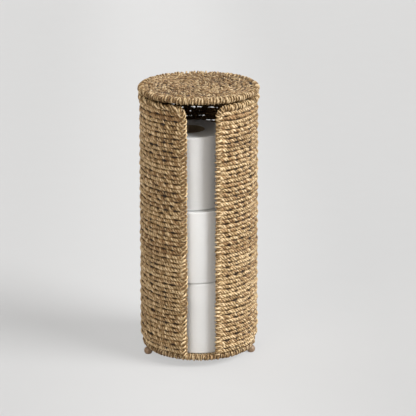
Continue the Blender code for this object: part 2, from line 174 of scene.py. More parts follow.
class Wiring:
    """Short calls that add nodes to a tree and join them."""

    def __init__(self, tree):
        self.tree = tree

    def put(self, socket, value):
        if isinstance(value, bpy.types.NodeSocket):
            self.tree.links.new(value, socket)
        else:
            socket.default_value = value

    def feed(self, node, **inputs):
        for name, value in inputs.items():
            self.put(node.inputs[name.replace("_", " ")], value)

    def node(self, kind, settings=None, **inputs):
        made = self.tree.nodes.new(kind)
        for name, value in (settings or {}).items():
            setattr(made, name, value)
        self.feed(made, **inputs)
        return made

    def math(self, operation, *values, clamp=False):
        made = self.node("ShaderNodeMath", {"operation": operation, "use_clamp": clamp})
        for socket, value in zip(made.inputs, values):
            self.put(socket, value)
        return made.outputs[0]

    def total(self, *parts):
        """The sum of some values, each times its own share."""
        result = 0.0
        for value, share in parts:
            result = self.math("MULTIPLY_ADD", value, share, result)
        return result

    def mix(self, factor, first, second, blend="MIX"):
        made = self.node("ShaderNodeMix", {"data_type": "RGBA", "blend_type": blend})
        colours = [socket for socket in made.inputs if socket.type == "RGBA"]
        for socket, value in zip((made.inputs[0], *colours), (factor, first, second)):
            self.put(socket, value)
        return next(socket for socket in made.outputs if socket.type == "RGBA")

    def spread(self, value, low, high, to_low=0.0, to_high=1.0):
        made = self.node(
            "ShaderNodeMapRange", {"interpolation_type": "SMOOTHSTEP"},
            Value=value, From_Min=low, From_Max=high, To_Min=to_low, To_Max=to_high)
        return made.outputs["Result"]

    def stretch(self, vector, scale):
        made = self.node("ShaderNodeVectorMath", {"operation": "MULTIPLY"})
        for socket, value in zip(made.inputs, (vector, scale)):
            self.put(socket, value)
        return made.outputs[0]

    def noise(self, vector, scale, detail=2.0, roughness=0.5):
        made = self.node("ShaderNodeTexNoise", Vector=vector, Scale=scale, Detail=detail, Roughness=roughness)
        return made.outputs["Fac"]


WHITE = (1.0, 1.0, 1.0, 1.0)
# Tints of painted shade: the grass is multiplied by the first in creases, and by the second where the shade
# is deepest
CREASE_TINT = (0.42, 0.33, 0.21, 1.0)
DEPTH_TINT = (0.1, 0.07, 0.05, 1.0)


def finish_group(name, inputs):
    """A new node group for a finish, with its wiring, the sockets of its inputs, and its output node. An
    input is a vector where its value is None, a colour where it has four parts, and else a number."""
    group = bpy.data.node_groups.new(name, "ShaderNodeTree")
    for label, value in inputs.items():
        kind = {type(None): "Vector", tuple: "Color", float: "Float"}[type(value)]
        socket = group.interface.new_socket(label, in_out="INPUT", socket_type=f"NodeSocket{kind}")
        if value is not None:
            socket.default_value = value
    for label, kind in (("Colour", "Color"), ("Roughness", "Float"), ("Height", "Float")):
        group.interface.new_socket(label, in_out="OUTPUT", socket_type=f"NodeSocket{kind}")
    given = group.nodes.new("NodeGroupInput").outputs
    return group, Wiring(group), given, group.nodes.new("NodeGroupOutput")


def grass_group():
    """Fibres of dried grass: streaks along a strand, slow patches of brown and olive, and painted shade in
    creases and hollows.
    """
    group, wiring, given, leave = finish_group("grass_fibres", {
        "Fibre": None, "Tone": 0.5, "Hollow": 0.0, "Straw": WHITE, "Brown": WHITE, "Olive": WHITE,
        "Age": 0.3})
    fine = wiring.noise(wiring.stretch(given["Fibre"], (5.0, 5.0, 60.0)), 1.0, 3.0, 0.6)
    broad = wiring.noise(wiring.stretch(given["Fibre"], (1.4, 1.4, 45.0)), 1.0)
    patch = wiring.noise(wiring.stretch(given["Fibre"], (0.5, 0.5, 14.0)), 1.0)
    aged = wiring.total((given["Tone"], 0.75), (broad, 0.5), (given["Age"], 0.6))
    base = wiring.mix(wiring.spread(aged, 0.5, 1.0), given["Straw"], given["Brown"])
    greened = wiring.mix(wiring.spread(patch, 0.5, 0.72, 0.0, 0.75), base, given["Olive"])
    streak = wiring.math("MULTIPLY", wiring.spread(fine, 0.3, 0.7), 0.45)
    streaked = wiring.mix(streak, greened, given["Straw"])
    worn = wiring.mix(wiring.spread(fine, 0.62, 0.3, 0.0, 0.5), streaked, given["Brown"])
    crease = wiring.math("MULTIPLY", given["Hollow"], 1.8, clamp=True)
    creased = wiring.mix(crease, worn, CREASE_TINT, "MULTIPLY")
    colour = wiring.mix(wiring.spread(given["Hollow"], 0.5, 1.0), creased, DEPTH_TINT, "MULTIPLY")
    height = wiring.total((fine, 0.7), (broad, 0.5))
    wiring.feed(leave, Colour=colour, Roughness=wiring.spread(fine, 0.25, 0.75, 0.62, 0.42), Height=height)
    return group


def grain_group():
    """Even fine grain with slow patches, for paper, card, wood, coated wire and the studio's sweep."""
    group, wiring, given, leave = finish_group("fine_grain", {
        "Vector": None, "Colour": WHITE, "Deep": WHITE, "Grain": 1500.0, "Patch": 60.0, "Amount": 0.3,
        "Smooth": 0.5, "Rough": 0.7})
    grain = wiring.noise(given["Vector"], given["Grain"], 3.0)
    patch = wiring.noise(given["Vector"], given["Patch"])
    spots = wiring.spread(wiring.total((grain, 0.6), (patch, 0.6)), 0.45, 0.8)
    colour = wiring.mix(wiring.math("MULTIPLY", spots, given["Amount"]), given["Colour"], given["Deep"])
    rough = wiring.node("ShaderNodeMapRange", Value=grain, To_Min=given["Smooth"], To_Max=given["Rough"])
    wiring.feed(leave, Colour=colour, Roughness=rough.outputs["Result"], Height=grain)
    return group


def shader_of(material):
    return material.node_tree.nodes["Principled BSDF"]


def new_material(name, group_name, make_group, bump, depth):
    """A material whose colour, roughness and bump come from a shared node group, made on its first use."""
    made = bpy.data.materials.new(name)
    made.use_nodes = True
    wiring = Wiring(made.node_tree)
    group = bpy.data.node_groups.get(group_name) or make_group()
    source = wiring.node("ShaderNodeGroup", {"node_tree": group})
    colour, roughness, height = source.outputs
    lift = wiring.node("ShaderNodeBump", Strength=bump, Distance=depth, Height=height)
    wiring.feed(shader_of(made), Base_Color=colour, Roughness=roughness, Normal=lift.outputs["Normal"])
    return made, wiring, source


def rgba(colour, share=1.0):
    return (*(share * channel for channel in colour), 1.0)


def grass_material(name, age, share=1.0):
    """A seagrass finish. The second argument turns it from straw to brown: partly the grass's own browning,
    partly painted shade and painted light set per part. The share darkens or lifts all of it; below one it is
    painted shade.
    """
    colours = bpy.context.scene.stand_colours
    made, wiring, fibres = new_material(name, "grass_fibres", grass_group, 0.7, 0.0005)
    for label, output in (("Fibre", "Vector"), ("Tone", "Fac"), ("Hollow", "Fac")):
        source = wiring.node("ShaderNodeAttribute", {"attribute_name": label.lower()})
        wiring.feed(fibres, **{label: source.outputs[output]})
    straw, brown, olive = (rgba(colour, share) for colour in (colours.straw, colours.brown, colours.olive))
    wiring.feed(fibres, Straw=straw, Brown=brown, Olive=olive, Age=age)
    return made


def grain_material(name, colour, deep, grain, patch, amount, smooth, rough, bump, stretch=(1, 1, 1)):
    """A plain finish with fine grain, placed by the object's own coordinates. Deep is the share of the
    colour that its darkest spots keep, and its roughness runs from smooth to rough."""
    made, wiring, grains = new_material(name, "fine_grain", grain_group, bump, 0.0003)
    place = wiring.stretch(wiring.node("ShaderNodeTexCoord").outputs["Object"], stretch)
    wiring.feed(
        grains, Vector=place, Colour=rgba(colour), Deep=rgba(colour, deep), Grain=grain, Patch=patch,
        Amount=amount, Smooth=smooth, Rough=rough)
    return made


def unit(vectors):
    return vectors / np.linalg.norm(vectors, axis=-1, keepdims=True)


def square_to(along, vectors):
    """The directions of the vectors once they are turned square to a line's own directions."""
    return unit(vectors - along * np.sum(vectors * along, axis=1, keepdims=True))


def reach_along(path):
    """How far along a path each of its points lies."""
    return np.concatenate([[0.0], np.cumsum(np.linalg.norm(np.diff(path, axis=0), axis=1))])


def points_at(places, reach, path):
    """Points at some places along a path, from how far along it its own points lie."""
    return np.stack([np.interp(places, reach, path[:, axis]) for axis in range(3)], -1)


def resampled(path, step):
    """The same path with its points evenly spaced, and how far along it each one lies."""
    reach = reach_along(path)
    places = np.linspace(0, reach[-1], max(3, int(reach[-1] / step) + 1))
    return points_at(places, reach, path), places


def around(radius, angle, z):
    angle = np.asarray(angle, float)
    flat = np.broadcast_to(radius, angle.shape)
    return np.stack([flat * np.sin(angle), -flat * np.cos(angle), np.broadcast_to(z, angle.shape)], -1)


def outward_at(angle):
    return around(1.0, angle, 0.0)


def arc(radius, z, start, end, count):
    return around(radius, np.linspace(start, end, count), z)


def left_of(path):
    return path * np.array([-1.0, 1.0, 1.0])


def add_object(name, data):
    made = bpy.data.objects.new(name, data)
    bpy.context.scene.collection.objects.link(made)
    return made


def place_piece(piece, body, slot, *nodes):
    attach(piece, body)
    if nodes:
        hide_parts(*nodes)


# Radians that a strand's fibres wind round it in a metre, and how far its ridges stand out
FIBRE_WINDING = 260.0
RIDGE = 0.1
# The share of a row's height that each strip leaves free on both sides in the layout for baking
STRIP_GAP = 0.04


class Bundle:
    """Gathers strands of grass into one mesh, with fibre places, tones and painted shade for the finish."""

    def __init__(self, seed):
        self.chance = np.random.default_rng(seed)
        self.points, self.faces, self.fibres, self.tones, self.hollows, self.strips = ([] for _ in range(6))
        self.count = 0

    def wander(self, length, reach, size):
        """A smooth random line, with a swing about every reach of its length."""
        knots = max(4, int(length[-1] / reach) + 2)
        values = self.chance.uniform(-1, 1, knots)
        places = np.linspace(0, length[-1], knots)
        share = np.interp(length, places, np.arange(knots))
        low = np.clip(share.astype(int), 0, knots - 2)
        ease = share - low
        ease = ease * ease * (3 - 2 * ease)
        return size * (values[low] * (1 - ease) + values[low + 1] * ease)

    def add(self, points, fibres, tones, hollows, faces, strip=None):
        """Takes up points with what the finish reads there, the faces over them, and the strip they form."""
        self.points.append(points.reshape(-1, 3))
        self.fibres.append(fibres.reshape(-1, 3))
        self.tones.append(tones.ravel())
        self.hollows.append(hollows.ravel())
        self.faces.append(faces.reshape(-1, 4))
        self.strips.append(strip)
        self.count += tones.size

    def strand(self, centres, outward, radius, tone, hollow, closed=False, squash=1.0):
        """One blade bundle along its centres: a ridged tube whose fibres wind slowly round it."""
        sides = bpy.context.scene.stand_sizes.strand_sides
        count = len(centres)
        if closed:
            along = unit(np.roll(centres, -1, axis=0) - np.roll(centres, 1, axis=0))
        else:
            along = unit(np.gradient(centres, axis=0))
        first = square_to(along, outward)
        second = np.cross(along, first)
        length = reach_along(centres)
        turns = FULL_TURN * np.arange(sides) / sides
        winding = turns[None, :] + FIBRE_WINDING * length[:, None]
        lobes = self.chance.uniform(0, FULL_TURN, 3)
        ridge = 1 + RIDGE * np.cos(2 * winding + lobes[0]) + RIDGE * np.cos(3 * winding + lobes[1])
        width = np.broadcast_to(radius, (count,))[:, None] * ridge
        ring = (width * np.cos(turns) * squash)[..., None] * first[:, None, :]
        ring = ring + (width * np.sin(turns))[..., None] * second[:, None, :]
        points = centres[:, None, :] + ring
        shift = self.chance.uniform(0, 40, 3)
        fibre = np.empty((count, sides, 3))
        fibre[..., 0] = np.cos(winding) + shift[0]
        fibre[..., 1] = np.sin(winding) + shift[1]
        fibre[..., 2] = length[:, None] + shift[2]
        tones = np.repeat(np.broadcast_to(tone, (count,))[:, None], sides, axis=1)
        hollows = hollow(points) if callable(hollow) else np.full((count, sides), hollow)
        index = self.count + np.arange(count * sides).reshape(count, sides)
        if closed:
            rows, after = index, np.roll(index, -1, axis=0)
        else:
            rows, after = index[:-1], index[1:]
        quads = np.stack([rows, np.roll(rows, -1, axis=1), np.roll(after, -1, axis=1), after], axis=-1)
        strip = (*rows.shape, length[-1], float(np.mean(radius)))
        self.add(points, fibre, tones, hollows, quads, strip)
        if not closed:
            self.cap(index[0], centres[0], fibre[0], tones[0], hollows[0], True)
            self.cap(index[-1], centres[-1], fibre[-1], tones[-1], hollows[-1], False)

    def cap(self, ring, centre, fibre, tones, hollows, at_start):
        """Closes one end with a fan of triangles, kept as quads that share their last corner."""
        after = np.roll(ring, -1)
        middle = np.full(len(ring), self.count)
        edge = (after, ring) if at_start else (ring, after)
        self.add(centre, fibre.mean(axis=0), tones[:1], hollows[:1], np.stack([*edge, middle, middle], -1))

    def bake_places(self):
        """Corner places that lay every strand out as its own strip, in rows that fill a square."""
        strips = [strip for strip in self.strips if strip]
        girth = FULL_TURN * max(strip[3] for strip in strips)
        row_length = math.sqrt(sum(strip[2] for strip in strips) * girth)
        longest = row_length * 1.02
        x, row = 0.0, 0
        layout = []
        for strip, faces in zip(self.strips, self.faces):
            place = np.zeros((len(faces), 4, 2))
            layout.append(place)
            if not strip:
                continue
            quads, sides, length, _ = strip
            place = place.reshape(quads, sides, 4, 2)
            step = length / quads
            edges = (1 - 2 * STRIP_GAP) * np.arange(sides + 1) / sides
            start = 0
            while start < quads:
                take = min(quads - start, max(1, int((row_length - x) / step)))
                along = (x + np.arange(take + 1) * step) / longest
                across = row + STRIP_GAP + edges
                part = place[start:start + take]
                part[:, :, :2, 0] = along[:-1, None, None]
                part[:, :, 2:, 0] = along[1:, None, None]
                part[:, :, ::3, 1] = across[:-1, None]
                part[:, :, 1:3, 1] = across[1:, None]
                x += take * step
                start += take
                if row_length - x < 2 * step:
                    x, row = 0.0, row + 1
        layout = np.concatenate(layout)
        layout[..., 1] *= 1.0 / (row + 1)
        return layout

    def make(self, name, finish):
        points = np.concatenate(self.points)
        quads = np.concatenate(self.faces)
        is_triangle = quads[:, 2] == quads[:, 3]
        sizes = np.where(is_triangle, 3, 4)
        keep = np.ones(quads.shape, bool)
        keep[is_triangle, 3] = False
        mesh = bpy.data.meshes.new(name)
        mesh.vertices.add(len(points))
        mesh.vertices.foreach_set("co", points.astype(np.float32).ravel())
        mesh.loops.add(int(sizes.sum()))
        mesh.loops.foreach_set("vertex_index", quads[keep].astype(np.int32))
        mesh.polygons.add(len(quads))
        starts = np.concatenate([[0], np.cumsum(sizes)[:-1]]).astype(np.int32)
        mesh.polygons.foreach_set("loop_start", starts)
        mesh.update(calc_edges=True)
        mesh.validate()
        mesh.polygons.foreach_set("use_smooth", np.ones(len(mesh.polygons), bool))
        layer = mesh.uv_layers.new(name="OFBake")
        layer.uv.foreach_set("vector", self.bake_places()[keep].astype(np.float32).ravel())
        for label, kind, field, values in (
                ("fibre", "FLOAT_VECTOR", "vector", self.fibres), ("tone", "FLOAT", "value", self.tones),
                ("hollow", "FLOAT", "value", self.hollows)):
            attribute = mesh.attributes.new(label, kind, "POINT")
            attribute.data.foreach_set(field, np.concatenate(values).astype(np.float32).ravel())
        mesh.materials.append(finish)
        return add_object(name, mesh)


# A cord is a little flatter outwards than across, and so are its plies, which press into each other
CORD_FLATNESS = 0.85
PLY_FLATNESS = 0.88
PLY_FULLNESS = 1.04
# The share of a cord's radius at which the painted shade of the crease between two plies starts, and the
# share it deepens in
CREASE_START = 0.9
CREASE_DEPTH = 0.15


def twisted_cord(
        bundle, centres, outward, rise, turn, hollow, tone, shares, spin=None, plies=None, mixed=0.48):
    """Plies twisted to the left round a cord's centre line, with painted shade in the creases between them.
    Turn is the length of one twist, shares the thickness against the wall's cord, spin the angle of the first
    ply at each centre, and mixed how far the tones of the plies differ."""
    sizes = bpy.context.scene.stand_sizes
    plies = plies or sizes.plies
    length = reach_along(centres)
    if spin is None:
        spin = bundle.chance.uniform(0, FULL_TURN) - FULL_TURN * length / turn
        spin = spin + bundle.wander(length, 0.05, 0.8)
    thick = sizes.cord_radius * np.broadcast_to(shares, length.shape)
    ply_radius = thick / (1 + 1 / math.sin(math.pi / plies))
    lift = thick - ply_radius
    for ply in range(plies):
        angle = spin + FULL_TURN * ply / plies
        offset = (CORD_FLATNESS * np.cos(angle) * lift)[:, None] * outward
        offset = offset + (np.sin(angle) * lift)[:, None] * rise
        width = 1 + bundle.wander(length, 0.03, 0.14) + bundle.wander(length, 0.009, 0.08)
        mottle = bundle.wander(length, 0.05, 0.26) + bundle.wander(length, 0.012, 0.2)
        tones = np.clip(tone + bundle.chance.normal(0, mixed) + mottle, 0, 1)

        # Painted shade in the creases between plies, joined with the cord's own painted shade by the darker
        # of the two
        def crease(points):
            away = np.linalg.norm(points - centres[:, None, :], axis=-1)
            deep = (CREASE_START - away / thick[:, None]) / CREASE_DEPTH
            return np.maximum(np.clip(deep, 0, 0.75), hollow(points))

        radius = PLY_FULLNESS * ply_radius * width
        bundle.strand(centres + offset, outward, radius, tones, crease, squash=PLY_FLATNESS)


def slot_half_angle(z):
    """Where a course starts beside the slot: on its wire, or further round where that bends into the rim."""
    radius = wall_radius(z)
    share = np.clip((z - SLOT_HIGH[2]) / SLOT_BEND, 0, 1)
    return math.asin(SLOT_X / radius) + SLOT_BEND * (1 - math.sqrt(1 - share * share)) / radius


BANDS = 6
COURSE_LIFT = 0.0002
COURSE_STEP = 0.0015
DRIFT_POINTS = 2000

# An eye is the small opening beside a stake. In radians: how far from the stake it is, its scatter, the
# step to a second one in the region round the back, and half that region. Its reach is in metres
EYE_OFFSET = 0.014
EYE_SCATTER = 0.016
EYE_PAIR = 0.085
EYE_REACH = 0.0038
BACK_REGION = 0.8

# For a course's upper and lower side: where the shade of its seam starts over its middle, and its depth
SEAMS = ((1, 0.0021, 0.3), (-1, 0.0015, 0.55))
SEAM_WIDTH = 0.0009
EYE_SHADE = 1.7

BACKING_DEPTH = 0.0014
BACKING_STEP = 0.0025
BACKING_SHARE = 0.62
BACKING_TURN = 0.016
PINHOLE_REACH = 0.003


class STAND_OT_wall(bpy.types.Operator):
    """Weaves the wall: courses of twisted seagrass cord, in front of one stake and behind the next"""

    bl_idname = "stand.wall"
    bl_label = "Weave the wall"

    def execute(self, context):
        sizes = context.scene.stand_sizes
        finish = grass_material("seagrass_wall", 0.3)
        rows = round((WALL_HIGH[2] - WALL_LOW[2]) / sizes.course_pitch)
        pitch = (WALL_HIGH[2] - WALL_LOW[2]) / rows
        eyes = self.gaps(rows, sizes)
        drift = Bundle(6).wander(np.linspace(0, FULL_TURN * RIM_RING, DRIFT_POINTS), 0.05, 1.6)
        for band in range(BANDS):
            bundle = Bundle(100 + band)
            for row in range(rows * band // BANDS, rows * (band + 1) // BANDS):
                self.course(bundle, sizes, row, pitch, eyes, drift)
                self.backing(bundle, sizes, row, pitch, eyes[row + 1])
            piece = bundle.make(f"wall_courses_{band + 1}", finish)
            place_piece(piece, "tower", "seagrass", *(["wall_weave"] if band == 0 else []))
        return {"FINISHED"}

    def gaps(self, rows, sizes):
        """The eyes in each gap between two courses, as angles and heights. The back has twice as many, and
        those at the wall's top and bottom edges are low."""
        chance = np.random.default_rng(7)
        found = []
        for gap in range(rows + 1):
            side = 1 if gap % 2 else -1
            most = sizes.eye_height if 0 < gap < rows else 0.3 * sizes.eye_height
            here = []
            for half in range(1, 2 * STAKES + 2):
                stake = FIRST_STAKE + half * STAKE_STEP / 2
                middle = stake + side * EYE_OFFSET + chance.normal(0, EYE_SCATTER)
                here.append((middle, most * chance.uniform(0.2, 1.1)))
                if abs(middle - math.pi) < BACK_REGION:
                    here.append((middle + side * EYE_PAIR, 1.2 * most * chance.uniform(0.4, 1.1)))
            found.append(here)
        return found

    def course(self, bundle, sizes, row, pitch, eyes, drift):
        """One course. The lay of its plies wanders, partly with a drift that all the courses share."""
        z = WALL_LOW[2] + (row + 0.5) * pitch
        start = slot_half_angle(min(z + pitch / 2, RIM_Z))
        radius = float(wall_radius(z))
        count = int(2 * (math.pi - start) * radius / COURSE_STEP)
        angle = np.linspace(start, FULL_TURN - start, count)
        length = (angle - start) * radius
        swing = np.cos(math.pi * ((angle - FIRST_STAKE) / STAKE_STEP + row))
        heights = z + bundle.wander(length, 0.04, 0.0005) + bundle.wander(length, 0.014, 0.0004)
        beside = {1: np.zeros(count), -1: np.zeros(count)}
        for gap, push in ((row, 1), (row + 1, -1)):
            for middle, height in eyes[gap]:
                near = height / sizes.eye_height * np.exp(-((angle - middle) * radius / EYE_REACH) ** 2)
                heights += push * near * sizes.eye_height
                beside[-push] = np.maximum(beside[-push], near)
        pinch = np.maximum(beside[1], beside[-1])
        bow = COURSE_LIFT + sizes.weave_swing * swing + bundle.wander(length, 0.03, 0.0003)
        centres = around(radius + bow, angle, heights)
        shares = 1.0 + 0.04 * swing - 0.14 * pinch + bundle.wander(length, 0.04, 0.05)
        spin = bundle.chance.uniform(0, FULL_TURN) - FULL_TURN * angle * RIM_RING / sizes.cord_turn
        shared = np.interp(angle, np.linspace(0, FULL_TURN, DRIFT_POINTS), drift)
        spin += shared + bundle.wander(length, 0.04, 1.0)

        def hollow(points):
            """Shade behind the front of the course and along its seams, deepest beside an eye."""
            depth = np.hypot(points[..., 0], points[..., 1]) - radius
            # Painted shade: darker deeper in the wall, along the seams between courses, more under a course
            # than over it, and most beside an eye
            dark = 0.75 * np.clip((0.0008 - depth) / 0.003, 0, 1)
            above = points[..., 2] - heights[:, None]
            for side, begin, seam in SEAMS:
                strength = (seam + EYE_SHADE * beside[side])[:, None]
                dark = np.maximum(dark, strength * np.clip((side * above - begin) / SEAM_WIDTH, 0, 1))
            return np.clip(dark, 0, 1)

        tone = 0.06 + bundle.chance.normal(0, 0.08)
        twisted_cord(bundle, centres, outward_at(angle), UPWARD, sizes.cord_turn, hollow, tone, shares, spin)

    def backing(self, bundle, sizes, row, pitch, eyes):
        """The cord behind the gap over a course, which closes the wall towards its inside. It thins at the
        higher eyes of the back, where light comes through."""
        z = WALL_LOW[2] + (row + 1) * pitch
        start = slot_half_angle(z)
        radius = float(wall_radius(z)) - BACKING_DEPTH
        angle = np.linspace(start, FULL_TURN - start, int(2 * (math.pi - start) * radius / BACKING_STEP))
        length = (angle - start) * radius
        centres = around(radius, angle, z + bundle.wander(length, 0.03, 0.0004))
        shares = np.full(len(angle), BACKING_SHARE)
        for middle, height in eyes:
            if height > 0.6 * sizes.eye_height and abs(middle - math.pi) < BACK_REGION:
                shares -= 0.52 * np.exp(-((angle - middle) * radius / PINHOLE_REACH) ** 2)
        shares = np.clip(shares, 0.1, 1)

        # Painted shade: the backing cord is drawn dark all through, darkest on its outer side behind the
        # courses
        def hollow(points):
            depth = np.hypot(points[..., 0], points[..., 1]) - radius
            return 0.75 + 0.25 * np.clip((depth + 0.0006) / 0.002, 0, 1)

        twisted_cord(bundle, centres, outward_at(angle), UPWARD, BACKING_TURN, hollow, 0.5, shares)


PATH_STEP = 0.0008
# How far a whipping cord sits inside the binding's surface, as a share of its own radius
WHIP_SEAT = 0.84
WHIP_POINTS = 22
WHIP_TURN = 0.017
WHIP_TONE = 0.2


def whipped(bundle, path, outer_radius, share, lead, hand, starts):
    """Cords wound side by side round a wire, as on a whipped rim. Share is their thickness against the
    wall's cord, lead the advance in one turn, hand the sense of the winding and starts their number."""
    thick = share * bpy.context.scene.stand_sizes.cord_radius
    core = outer_radius - WHIP_SEAT * thick
    line, places = resampled(path, PATH_STEP)
    total = places[-1]
    turns = total / lead
    along_each = np.linspace(0, total, int(turns * WHIP_POINTS))
    for begin in range(starts):
        slip = bundle.wander(along_each, 0.3 * lead, 0.22 * thick)
        at = np.clip(along_each + slip, 0, total)
        centre, before, after = (points_at(at + step, places, line) for step in (0, -PATH_STEP, PATH_STEP))
        along = unit(after - before)
        outward = square_to(along, centre * (1 - UPWARD))
        angle = hand * FULL_TURN * (turns * along_each / total + begin / starts)
        away = np.cos(angle)[:, None] * outward + np.sin(angle)[:, None] * np.cross(along, outward)
        spot = centre + away * (core * (1 + bundle.wander(along_each, 0.4 * lead, 0.08)))[:, None]
        rise = np.cross(unit(np.gradient(spot, axis=0)), away)
        shares = share * (1 + bundle.wander(along_each, 0.3 * lead, 0.12))

        # Painted shade: the whipping darkens the deeper it lies towards the wire
        def hollow(points):
            depth = np.linalg.norm(points - centre[:, None, :], axis=-1)
            return np.clip((core - depth) / (0.7 * thick), 0, 1)

        tones = WHIP_TONE + bundle.wander(along_each, 0.8 * lead, 0.25)
        twisted_cord(bundle, spot, away, rise, WHIP_TURN, hollow, tones, shares, plies=2, mixed=0.12)


def rim_path():
    """The right side of the slot wire's bend and of the rim, up to the hinge notch."""
    turn = np.linspace(0, 1, 9) * math.pi / 2
    z = SLOT_HIGH[2] + SLOT_BEND * np.sin(turn)
    radius = RIM_RING - (RIM_RING - wall_radius(WALL_HIGH[2])) * (RIM_Z - z) / SLOT_BEND
    bend = around(radius, np.arcsin(SLOT_X / radius) + SLOT_BEND * (1 - np.cos(turn)) / radius, z)
    start = math.atan2(bend[-1][0], -bend[-1][1])
    return np.concatenate([bend, arc(RIM_RING, RIM_Z, start, NOTCH_START, 80)[1:]])


class STAND_OT_rims(bpy.types.Operator):
    """Whips the rim, both sides of the slot, the base ring and the lid's edge with cord"""

    bl_idname = "stand.rims"
    bl_label = "Whip the rims"

    def execute(self, context):
        sizes = context.scene.stand_sizes
        # The rim's grass is written paler than the wall's as painted light, and the lid's edge and the base
        # ring darker as painted shade; the slot's edges are written paler
        finishes = {
            "rim": grass_material("seagrass_rim", -0.4),
            "slot": grass_material("seagrass_edge", -0.3),
            "lid": grass_material("seagrass_lid_rim", 0.3, 0.9),
            "base": grass_material("seagrass_base_rim", 0.6, 0.82),
        }
        heights = np.linspace(SLOT_LOW[2], SLOT_HIGH[2], 60)
        radii = wall_radius(heights)
        side = around(radii, np.arcsin(SLOT_X / radii), heights)
        ends = (math.pi - BACK_HALF, math.pi + BACK_HALF, 12)
        rows = (
            ("rim", "_right", rim_path(), -1),
            ("rim", "_left", left_of(rim_path()), 1),
            ("rim", "_back", arc(RIM_RING, RIM_Z, *ends), 1),
            ("slot", "_right", side, -1),
            ("slot", "_left", left_of(side), 1),
            ("base", "", arc(BASE_RING, BASE_Z, -math.pi, math.pi, 241), -1),
            ("lid", "", arc(RIM_RING, LID_Z, -NOTCH_START, NOTCH_START, 200), -1),
            ("lid", "_back", arc(RIM_RING, LID_Z, *ends), -1),
        )
        for seed, (part, place, path, hand) in enumerate(rows):
            bundle = Bundle(11 + seed)
            radius = BASE_BINDING if part == "base" else LID_BINDING
            if part == "slot":
                whipped(bundle, path, radius, sizes.edge_share, sizes.course_pitch, hand, starts=1)
            else:
                lead = 4 * sizes.rim_share * sizes.cord_radius
                whipped(bundle, path, radius, sizes.rim_share, lead, hand, starts=2)
            piece = bundle.make(f"{part}_whipping{place}", finishes[part])
            place_piece(piece, "lid" if part == "lid" else "tower", "seagrass", f"{part}_binding{place}")
        return {"FINISHED"}


# The lid and the base: rounds of cord a little closer than the wall's courses, over inner and outer spokes
ROUND_SHARE = 0.9
ROUND_STEP = 0.0014
INNER_SPOKES = 11
OUTER_SPOKES = 23
INNER_RADIUS = 0.034
ROUND_LIFT = 0.0006
SHADE_START = 0.0012

# The short ends over the lid: the length of a ring for each, the middle and spread of their lean in
# degrees, their least and most length, and how far their ends sink
STITCH_SHARE = 0.78
STITCH_SPACE = 0.0088
STITCH_LEAN = (38, 24)
STITCH_REACH = (0.010, 0.018)
STITCH_SAG = 0.0022
STITCH_TURN = 0.014
STITCH_POINTS = 13


def lid_patches(x, y):
    """Darker and lighter patches of grass over the lid, as a value round zero."""
    return 0.2 * math.sin(300 * x + 2 * math.sin(190 * y)) + 0.3 * math.sin(360 * y + 2 * math.sin(230 * x))


